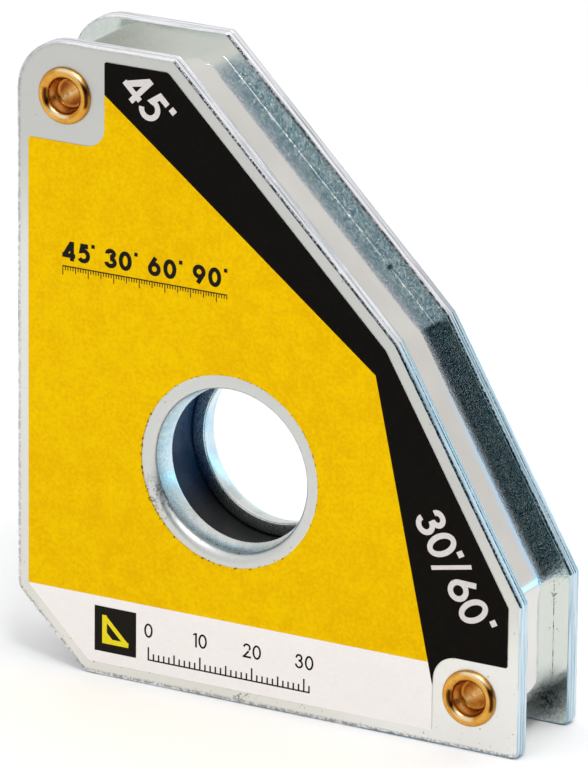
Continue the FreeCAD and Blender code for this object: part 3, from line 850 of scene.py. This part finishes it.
def make_strip():
    shell = Shell()
    places, normals = rounded_outline(STRIP_INSET, STRIP_RADII, 1, 6.0)
    # start and end at the slit in the middle of the bottom run
    ends = [((WIDTH + STRIP_JOINT) / 2, STRIP_INSET), ((WIDTH - STRIP_JOINT) / 2, STRIP_INSET)]
    x = places[:, 0]
    base = (np.abs(places[:, 1] - STRIP_INSET) < 0.01) & (normals[:, 1] < -0.99)
    first = np.argmin(np.where(base & (x > ends[0][0] + 0.2), x, np.inf))
    last = np.argmax(np.where(base & (x < ends[1][0] - 0.2), x, -np.inf))
    order = np.arange(first, first + (last - first) % len(x) + 1) % len(x)
    spots = np.vstack([ends[:1], places[order], ends[1:]])
    out = np.vstack([[(0, -1)], normals[order], [(0, -1)]])
    across = STRIP_ACROSS + [(0, 0)] + [(-a, h) for a, h in reversed(STRIP_ACROSS)]

    on_slope = unit((out @ np.array([DIAG, DIAG]) - 0.975) / 0.02)
    on_side = unit((out[:, 0] - 0.98) / 0.02)

    def line(share, height, inward, wear=0):
        lift = np.array([0.02 * wobble(s, 9.0, 5) * (1 - abs(share)) for s in spots])
        lift += height * (0.15 + 0.85 * on_slope)
        moved = spots + out * (lift - inward)[:, None]
        return shell.ring([(x, share * GAP_Y, z) for x, z in moved], wear * on_side)

    # the strip's edges down the right side carry the seam's painted shade
    top = [line(a, h, 0, 1 if abs(a) > 0.97 else 0) for a, h in across]
    under = [line(a, 0, STRIP_THICK) for a, _ in across]
    shell.join(top, closed=False)
    for a, b in zip(under, under[1:]):
        shell.bridge(b, a, closed=False)
    shell.bridge(top[0], under[0], closed=False)
    shell.bridge(under[-1], top[-1], closed=False)
    for k in (0, -1):
        for i in range(len(across) - 1):
            shell.face((top[i][k], top[i + 1][k], under[i + 1][k], under[i][k]))
    shell.build("spacer_strip_detailed", [BRIGHT], ["spacer_strip"])


make_strip()

# ---- Tube round the hole ----
def make_liner():
    shell = Shell()
    bore = LINER_R - LINER_WALL
    chamfer = 0.15
    half = GAP_Y
    profile = [(bore + chamfer, -half), (bore, -half + chamfer)]
    profile += [(bore + 0.02 * math.sin(k), -half + 2 * half * k / 12) for k in range(1, 12)]
    profile += [
        (bore, half - chamfer), (bore + chamfer, half), (LINER_R - chamfer, half), (LINER_R, half - chamfer),
        (LINER_R, -half + chamfer), (LINER_R - chamfer, -half), (bore + chamfer, -half),
    ]
    rings = [shell.ring(circle(HOLE_X, HOLE_Z, r, y, 112)) for r, y in profile[:-1]]
    shell.join(rings + rings[:1])
    shell.build("hole_liner_detailed", [TUBE], ["hole_liner"])


make_liner()

# ---- Rivets ----
FLANGE_R = 4.95
FLANGE_PROUD = 0.9
SOCKET_R = 3.05
SOCKET_DEPTH = 2.3
INNER_ROUND, OUTER_ROUND = 0.95, 0.82  # radii of the flange's two roundings
HEAD_R = 5.2
QUARTER = [math.pi / 2 * k / 8 for k in range(9)]
MARK_WAY = (math.cos(math.radians(38)), math.sin(math.radians(38)))  # of the scratch in the socket
# painted highlight and painted dark reflection on the flange's roundings
HIGHLIGHT_PATCH, DARK_REFLECTION_PATCH = (74, 38), (7, 29)  # on the roundings: middle and half width in degrees


def patch(turn, middle, half_width):
    """1 in a patch of a turn round the rivet, falling off steeply to 0 at its ends."""
    return max(0, 1 - (abs((turn - middle + 180) % 360 - 180) / half_width) ** 4)


def rivet_profile(front, back):
    """(radius, depth, red-brown share) from the socket's floor over the flange and the shank to the head."""
    floor, proud = front + SOCKET_DEPTH, front - FLANGE_PROUD
    rows = [
        (0.2, floor + 0.02, 0), (0.8, floor, 0), (1.4, floor - 0.01, 0.05), (2.0, floor - 0.04, 0.2),
        (2.45, floor - 0.12, 0.5), (2.63, floor - 0.26, 0.9), (2.73, floor - 0.5, 0.6),
        (2.82, floor - 1.1, 0), (2.92, floor - 1.75, 0), (3.0, front - 0.15, 0.2),
        (3.03, front - 0.02, 0.4),
    ]
    rows += [(
        SOCKET_R + INNER_ROUND * (1 - math.cos(a)),
        proud + 0.06 + (INNER_ROUND - 0.05) * (1 - math.sin(a)), 0.4 * math.cos(a),
    ) for a in QUARTER]
    rows.append((FLANGE_R - OUTER_ROUND - 0.2, proud + 0.01, 0))
    rows += [(
        FLANGE_R - OUTER_ROUND * (1 - math.sin(a)), proud + OUTER_ROUND * (1 - math.cos(a)), 0.3 * math.sin(a)
    ) for a in QUARTER]
    rows += [
        (FLANGE_R - 0.02, front - 0.08, 0.7), (FLANGE_R - 0.12, front, 0.8), (SHANK_R, front, 0),
        (SHANK_R, back, 0),
    ]
    head = [(0.1, 0, 0.3), (0, 0.12, 0.1), (0.03, 0.35, 0), (0.2, 0.5, 0), (0.55, 0.63, 0),
            (1.2, 0.75, 0), (2.2, 0.83, 0), (HEAD_R - 1.6, 0.88, 0)]
    return rows + [(HEAD_R - inset, back + rise, wear) for inset, rise, wear in head]


def make_rivet(node):
    shell = Shell()
    cx, cz = rivet_centre(node)
    front, back = -OUTER_Y, OUTER_Y
    rings = []
    for radius, y, wear in rivet_profile(front, back):
        on_inner = SOCKET_R < radius <= SOCKET_R + INNER_ROUND and y < front
        on_outer = FLANGE_R - OUTER_ROUND <= radius < FLANGE_R and y < front
        in_floor = radius < 2.4 and y < 0
        on_wall = 2.7 < radius < SOCKET_R and y > front
        tilt = 0
        if on_inner:
            tilt = (radius - SOCKET_R) / INNER_ROUND
        elif on_outer:
            tilt = (FLANGE_R - radius) / OUTER_ROUND
        painted_sheen = max(0, math.sin(math.pi * min(1, tilt))) ** 1.5
        spots, shade, painted_reflections = [], [], []
        for x, _, z in circle(0, 0, radius, 0, 96):
            mark = stain = gleam = 0
            # painted shade: the socket floor is redder away from the scratch line, with a painted highlight
            # along it
            if in_floor:
                along = x * MARK_WAY[0] + z * MARK_WAY[1]
                aside = x * MARK_WAY[1] - z * MARK_WAY[0]
                mark = 0.13 * math.exp(-(aside / 0.17) ** 2) if along > -0.3 else 0
                stain = (0.68 - 0.12 * max(0, along)) * abs(aside) ** 0.8
                gleam = 0.35 * math.exp(-(aside / 0.5) ** 2)
            # painted light on the lower left of the socket wall
            elif on_wall:
                gleam = 0.8 * max(0, -(0.85 * x + 0.53 * z) / radius)
            # the two roundings face opposite ways; on them a painted highlight and a painted dark reflection
            # are set by the turn round the rivet
            turn = math.degrees(math.atan2(z, x)) + (180 if on_inner else 0)
            patches = painted_sheen * patch(turn, *HIGHLIGHT_PATCH) - 1.7 * painted_sheen * patch(turn, *DARK_REFLECTION_PATCH)
            spots.append((cx + x, y - mark, cz + z))
            shade.append(min(1, wear + stain))
            painted_reflections.append(max(-1, patches) + gleam)
        rings.append(shell.ring(spots, shade, painted_reflections))
    shell.join(rings)
    shell.fan(rings[0], (cx, front + SOCKET_DEPTH - 0.06, cz))
    shell.fan(rings[-1], (cx, back + FLANGE_PROUD, cz))
    shell.build(f"{node}_detailed", [BRASS], [node])


make_rivet("rivet_upper_left")
make_rivet("rivet_lower_right")

# ---- Flat print: any union of polygons and strokes becomes one closed thin solid ----
def arc(x, z, rx, rz, start, end, pieces=20):
    """Points on an ellipse from one angle to another, in degrees, as a row for a stroke."""
    angles = [math.radians(start + (end - start) * k / pieces) for k in range(pieces + 1)]
    return [(x + rx * math.cos(a), z + rz * math.sin(a)) for a in angles]


def stroke(path, width):
    """Outline of a line of constant width along a path."""
    path = np.array(path, float)
    step = np.gradient(path, axis=0) if len(path) > 2 else np.repeat(path[1:] - path[:1], 2, axis=0)
    step /= np.linalg.norm(step, axis=1)[:, None]
    side = np.stack([-step[:, 1], step[:, 0]], axis=1) * width / 2
    return np.vstack([path + side, (path - side)[::-1]])


def box_shape(x0, z0, x1, z1):
    return [(x0, z0), (x1, z0), (x1, z1), (x0, z1)]


def thin_solid(name, flat, tris, kinds, materials, over, under, replaces=()):
    """Closed solid over flat triangles, between two depths in front of the plate."""
    used = sorted(set(tris.ravel()))
    number = {v: k for k, v in enumerate(used)}
    shell = Shell()
    front, back = (shell.ring([(flat[v][0], -depth, flat[v][1]) for v in used]) for depth in (over, under))
    sides = {}
    for tri, kind in zip(tris, kinds):
        a, b, c = (number[v] for v in tri)
        shell.face((front[a], front[b], front[c]), kind)
        shell.face((back[c], back[b], back[a]), kind)
        sides.update({(a, b): kind, (b, c): kind, (c, a): kind})
    for (u, v), kind in sides.items():
        if (v, u) not in sides:
            shell.face((front[u], back[u], back[v], front[v]), kind)
    shell.build(name, materials, replaces, smooth=False)


def flat_print(name, polygons, colour, ink_layers=1):
    """Print on the label in the shape of the union of polygons."""
    flat, tris, middles, _ = triangulate(polygons)
    keep = np.any([inside(polygon, middles) for polygon in polygons], axis=0)
    over = LABEL_Y + ink_layers * INK
    thin_solid(name, flat, tris[keep], [0] * len(tris), [colour], over, LABEL_Y - 0.02)


# Plain figures, drawn 5.8 high from their own lower left corner; "o" is a square degree mark
FIGURE_HEIGHT = 5.8


def figure_shapes(mark, w):
    """Polygons of one figure with stroke width w, and its width."""
    h = FIGURE_HEIGHT
    if mark == "0":
        rx, rz = 1.47, h / 2 - w / 2
        x = rx + w / 2
        return [stroke(arc(x, h / 2, rx, rz, s, s + 180, 26), w) for s in (0, 180)], 2 * x
    if mark in "69":
        r = 1.45
        x, z = r + w / 2, r + w / 2
        lean = math.radians(58)
        touch = (x - r * math.sin(lean), z + r * math.cos(lean))
        rise = (h - 0.28 - touch[1]) / math.sin(lean)
        top = (touch[0] + rise * math.cos(lean), touch[1] + rise * math.sin(lean))
        shapes = [stroke(arc(x, z, r, r, s, s + 180, 24), w) for s in (0, 180)]
        shapes.append(stroke([touch, top], w))
        if mark == "9":
            shapes = [[(2 * x - a, h - b) for a, b in s] for s in shapes]
        return shapes, 2 * x
    if mark == "4":
        stem, bar = 3.2, 1.55
        return [
            box_shape(stem - w / 2, 0, stem + w / 2, h),
            box_shape(0, bar - w / 2, 4.25, bar + w / 2),
            [(stem - w / 2 - 0.05, h), (stem + w / 4, h), (stem + w / 4, h - 1.1), (1.2 * w, bar), (0, bar),
             (0, bar + w * 0.12)],
        ], 4.25
    if mark == "5":
        r = 1.55
        x, z = r + w / 2 - 0.35, r + w / 2
        return [
            box_shape(0.95, h - 1.08 * w, 3.35, h),
            [(0.95, h), (0.95 + w, h), (0.52 + w, 3.0), (0.8, 2.85), (0.32, 2.75)],
            stroke(arc(x, z, r, r, 128, -146, 34), w),
        ], 3.65
    if mark == "3":
        return [
            stroke(arc(1.88, 4.3, 1.12, 1 + (1 - w) / 2, 186, -98, 30), w),
            stroke(arc(1.88, 1.75, 1.38, 1.25 + (1 - w) / 2, 98, -178, 34), w),
        ], 3.76
    if mark == "1":
        flag = [(0.9, h), (0.9, h - w), (0, h - w - 0.35), (0, h - 0.5)]
        return [box_shape(0.9, 0, 0.9 + w, h), flag], 0.9 + w
    if mark == "2":
        return [
            stroke(arc(1.8, h - 1.3 - w / 2, 1.3, 1.3, 172, -40, 24), w),
            [(0, 0), (0, 0.35), (2.35, 3.1), (2.9, 2.6), (1.3, w), (1.3, 0)],
            box_shape(0, 0, 3.6, w),
        ], 3.6
    if mark == "/":
        return [stroke([(0.35, -0.9), (2.85, 6.3)], w * 0.75)], 3.2
    if mark == "o":
        return [box_shape(0, h - 0.95, 1.1, h + 0.18)], 1.1
    return [], 2.0  # a space


def lay_out(places, width, scale, origin, turn=0):
    """Polygons of several figures: places are (mark, x), turned below the horizontal by turn."""
    a = math.radians(-turn)
    across, up = np.array([math.cos(a), math.sin(a)]), np.array([-math.sin(a), math.cos(a)])
    shapes = []
    for mark, x in places:
        for polygon in figure_shapes(mark, width)[0]:
            u, v = (np.array(polygon, float) + (x / scale, 0)).T[:, :, None] * scale
            shapes.append(origin + u * across + v * up)
    return shapes


def text_row(marks, gap, scale, width):
    """(mark, x) places of a row of figures set side by side."""
    x, row = 0, []
    for mark in marks:
        row.append((mark, x))
        x += figure_shapes(mark, width)[1] * scale + gap
    return row, x - gap


# ---- Label ----
LABEL_ROUND = 1.2
UPPER_NOTCH = (17.05, 93.5, 3.6)
LOWER_NOTCH = (80.1, 15.95, 4.6)
STRIPE_Z = 14.36
BLACK_LINE = [(17.05, 103.0), (68.75, 62.7), (80.1, 10.6)]


def label_outline():
    """Corners of the label with its two notches, rounded, anticlockwise."""
    c = corner_points(LABEL_INSET)
    ux, uz, ur = UPPER_NOTCH
    lx, lz, lr = LOWER_NOTCH
    sharp = 0.25
    corners = [
        ((lx, LABEL_INSET), sharp), ((lx, lz), lr), ((WIDTH - LABEL_INSET, lz), sharp),
        (c["side_top"], LABEL_ROUND), (c["knee"], LABEL_ROUND), (c["slope_top"], LABEL_ROUND),
        ((ux, HEIGHT - LABEL_INSET), sharp), ((ux, uz), ur), ((LABEL_INSET, uz), sharp),
        (c["foot_left"], LABEL_ROUND), (c["foot_right"], LABEL_ROUND),
    ]
    out = []
    for i, (spot, radius) in enumerate(corners):
        p = Vector(spot)
        a = (Vector(corners[i - 1][0]) - p).normalized()
        b = (Vector(corners[(i + 1) % len(corners)][0]) - p).normalized()
        half = math.acos(max(-1, min(1, a.dot(b)))) / 2
        reach = radius / math.tan(half)
        centre = p + (a + b).normalized() * (radius / math.sin(half))
        start, end = p + a * reach - centre, p + b * reach - centre
        first = math.atan2(start.y, start.x)
        turn = (math.atan2(end.y, end.x) - first + math.pi) % (2 * math.pi) - math.pi
        pieces = max(3, round(abs(math.degrees(turn)) / 7))
        for k in range(pieces + 1):
            angle = first + turn * k / pieces
            out.append((centre.x + radius * math.cos(angle), centre.y + radius * math.sin(angle)))
    return np.array(out)


def make_label():
    outer = label_outline()
    ragged = lambda a: 0.06 * noise.noise(Vector((math.cos(a) * 9, 3.0, math.sin(a) * 9)))
    hole = np.array([(x, z) for x, _, z in circle(HOLE_X, HOLE_Z, LABEL_HOLE, 0, 150, ragged)])
    first, knee, tip = (np.array(p) for p in BLACK_LINE)
    # the lines between the colours run on past the label's edge
    start = first + (first - knee) * 0.08
    end = tip + (tip - knee) * 0.2
    lines = [(0, STRIPE_Z), (WIDTH, STRIPE_Z), start, knee, end]
    flat, tris, middles, _ = triangulate([outer, hole], lines, [(0, 1), (2, 3), (3, 4)])
    keep = inside(outer, middles) & ~inside(hole, middles)
    far_x, far_z = WIDTH * 1.2, HEIGHT * 1.2
    black = inside([start, knee, end, (far_x, end[1]), (far_x, far_z), (start[0], far_z)], middles)
    zone = np.where(black, 1, np.where(middles[:, 1] < STRIPE_Z, 2, 0))
    thin_solid("front_label_printed", flat, tris[keep], zone[keep].tolist(), [YELLOW, BLACK, WHITE],
               LABEL_Y, OUTER_Y, ["front_label"])


make_label()

def row_start(x, z, back, down, turn):
    """Start of a turned row of figures, this far back along it and down from a place."""
    c, s = math.cos(math.radians(turn)), math.sin(math.radians(turn))
    return x - back * c - down * s, z + back * s - down * c


# large white angle figures on the black band, read downwards along the slopes
flat_print("figures_45", lay_out(
    [("4", 0), ("5", 4.65), ("o", 8.7)], 1, 0.99, row_start(25.5, 104, 4.65, 3.4, 45), 45,
), WHITE_INK)
flat_print("figures_30_60", lay_out(
    [("3", 0), ("0", 4.1), ("o", 8.15), ("/", 8.53), ("6", 12.15), ("0", 16.3), ("o", 20.85)], 1, 1,
    row_start(84.5, 32, 10.48, 3.75, 60), 60,
), WHITE_INK)

# bold row of angle figures and a fine scale under it
BOLD = 1.3
SCALE_LEFT, SCALE_TOP, SCALE_STEP = 9.1, 72.0, 0.492
bold_scale = 3.4 / FIGURE_HEIGHT
row, row_length = text_row("45o 30o 60o 90o", 0.32, bold_scale, BOLD)
row = [(mark, x * (31.7 / row_length)) for mark, x in row]
flat_print("figures_bold", lay_out(row, BOLD, bold_scale, (9.0, 73.0)), BLACK_INK)
FINE_TICKS, RULER_TICKS = (-1.6, -1.15, -0.75), (2.3, 1.75, 1.2)  # heights: each tenth, each fifth, others


def tick_row(count, left, step, z, heights, half_width):
    boxes = []
    for k in range(count):
        low, high = sorted((z, z + heights[0 if k % 10 == 0 else 1 if k % 5 == 0 else 2]))
        x = left + k * step
        boxes.append(box_shape(x - half_width, low, x + half_width, high))
    return boxes


scale_line = box_shape(9.02, 71.86, 40.67, 72.05)
scale_ticks = tick_row(65, SCALE_LEFT, SCALE_STEP, SCALE_TOP, FINE_TICKS, 0.08)
flat_print("scale_fine", scale_ticks + [scale_line], BLACK_INK)

# plain square with a set square in it, and a plain ruler with its figures
flat_print("set_square_tile", [box_shape(15.4, 4.5, 23.5, 12.6)], BLACK_INK)
flat_print("set_square", [
    [(16.9, 6.0), (22.0, 6.0), (22.0, 6.9), (18.9, 6.9), (17.8, 8.0), (17.8, 11.1), (16.9, 11.1)],
    stroke([(17.2, 10.9), (21.8, 6.3)], 0.8),
], YELLOW_INK, ink_layers=2)
RULER_LEFT, RULER_LOW = 25.9, 4.6
RULER_SCALE, RULER_STROKE = 0.44, 0.75
ruler_line = box_shape(25.76, 4.5, 57.04, 4.75)
ruler_ticks = tick_row(32, RULER_LEFT, 1, RULER_LOW, RULER_TICKS, 0.14)
flat_print("ruler_ticks", ruler_ticks + [ruler_line], BLACK_INK)
figures = []
for k, marks in enumerate(("0", "10", "20", "30")):
    row, length = text_row(marks, 0.3, RULER_SCALE, RULER_STROKE)
    figures += lay_out(row, RULER_STROKE, RULER_SCALE, (RULER_LEFT + 10 * k - length / 2, 8.6))
flat_print("ruler_figures", figures, BLACK_INK)

# ---- Carried-over CAD nodes ----
for node, thing in frame["nodes"].items():
    if thing.hide_render:
        continue
    finish = SLEEVE if node.startswith("sleeve") else FERRITE
    thing.data.materials.clear()
    thing.data.materials.append(finish)

# ---- Camera ----
AZIMUTH, ELEVATION, ROLL = (math.radians(d) for d in (28.687, 18.703, 0.567))
LENS = 397.76
SENSOR = 36.0
VIEW_SHIFT = Vector((1.866, -0.437, 1416.681)) * MM  # the aim point in the camera's own axes
AIM_SHIFT = Vector((1.8, -0.6, 0)) * MM
aim = (Vector(cad_box[0]) + Vector(cad_box[1])) / 2 + AIM_SHIFT

backward = Vector((
    math.sin(AZIMUTH) * math.cos(ELEVATION), -math.cos(AZIMUTH) * math.cos(ELEVATION), math.sin(ELEVATION)
))
level = (-backward).cross(Vector((0, 0, 1))).normalized()
upright = level.cross(-backward)
cam_x = level * math.cos(ROLL) + upright * math.sin(ROLL)
cam_y = upright * math.cos(ROLL) - level * math.sin(ROLL)

camera_data = bpy.data.cameras.new("camera")
camera_data.lens = LENS
camera_data.sensor_width = SENSOR
camera_data.sensor_fit = "AUTO"
camera_data.clip_start, camera_data.clip_end = 0.01, 20
camera = placed("camera", camera_data)
spot = aim - cam_x * VIEW_SHIFT.x + cam_y * VIEW_SHIFT.y + backward * VIEW_SHIFT.z
camera.matrix_world = Matrix.Translation(spot) @ Matrix((cam_x, cam_y, backward)).transposed().to_4x4()
bpy.context.scene.camera = camera

# ---- Studio: pale floor and bright surroundings, one part of which is unlit ----
scene = bpy.context.scene
scene.view_settings.view_transform = "Standard"
scene.view_settings.look = "None"

floor_mesh = bpy.data.meshes.new("floor")
floor_shape = bmesh.new()
bmesh.ops.create_circle(floor_shape, cap_ends=True, radius=6.0, segments=64)
floor_shape.to_mesh(floor_mesh)
floor_shape.free()
paper = Paint("floor_paper", (0.93, 0.93, 0.93), roughness=0.9, Specular_IOR_Level=0.1)
fibre = paper.noise(300)
paper.colour = paper.mix(fibre, (0.925, 0.925, 0.93), (0.94, 0.94, 0.945))
floor_mesh.materials.append(paper.use())
placed("floor", floor_mesh)

world = bpy.data.worlds.new("studio")
scene.world = world
world.use_nodes = True
room = Nodes(world.node_tree)
direction = room.add("TexCoord", output=0)
height = room.add("SeparateXYZ", {0: direction}, output=2)
# the unlit part of the room: low down, from beside the camera round to the right
UNLIT_WAY, HORIZON_WAY = (0.82, -0.57, 0), (0.55, 0.83, 0)
to_gap = room.dot(direction, UNLIT_WAY)
gap = room.ramp(to_gap, 0.45, 0.75)
halo = room.times(gap, room.ramp(height, 0.53, 0.44))
dark = room.times(gap, room.ramp(height, 0.468, 0.372))
behind = room.ramp(room.dot(direction, HORIZON_WAY), 0.4, 0.8)
horizon = room.times(behind, room.ramp(height, 0.19, 0.08))
studio = room.mix(room.ramp(height, 0.3, 0.8), (0.86, 0.85, 0.835), (1, 1, 1))
studio = room.mix(horizon, studio, (1, 1.65, 1.95))
studio = room.mix(halo, studio, (0.56, 0.68, 0.77))
studio = room.mix(dark, studio, (0.008, 0.021, 0.026))
glow = room.add("Background", {"Color": studio, "Strength": 1})
room.add("OutputWorld", {"Surface": glow}, output=None)


def soft_light(name, place, size, power):
    """Disk lamp turned towards the part; place and size in metres, place from the aim point."""
    data = bpy.data.lights.new(name, "AREA")
    data.shape = "DISK"
    data.size = size
    data.energy = power
    lamp = placed(name, data)
    lamp.location = aim + Vector(place)
    lamp.rotation_mode = "QUATERNION"
    lamp.rotation_quaternion = (aim - lamp.location).to_track_quat("-Z", "Y")
    lamp.visible_camera = False


soft_light("light_above", (0.3, -0.15, 1.1), 0.8, 2.4)
soft_light("light_key", (0.34, -0.5, 0.98), 0.22, 2.6)
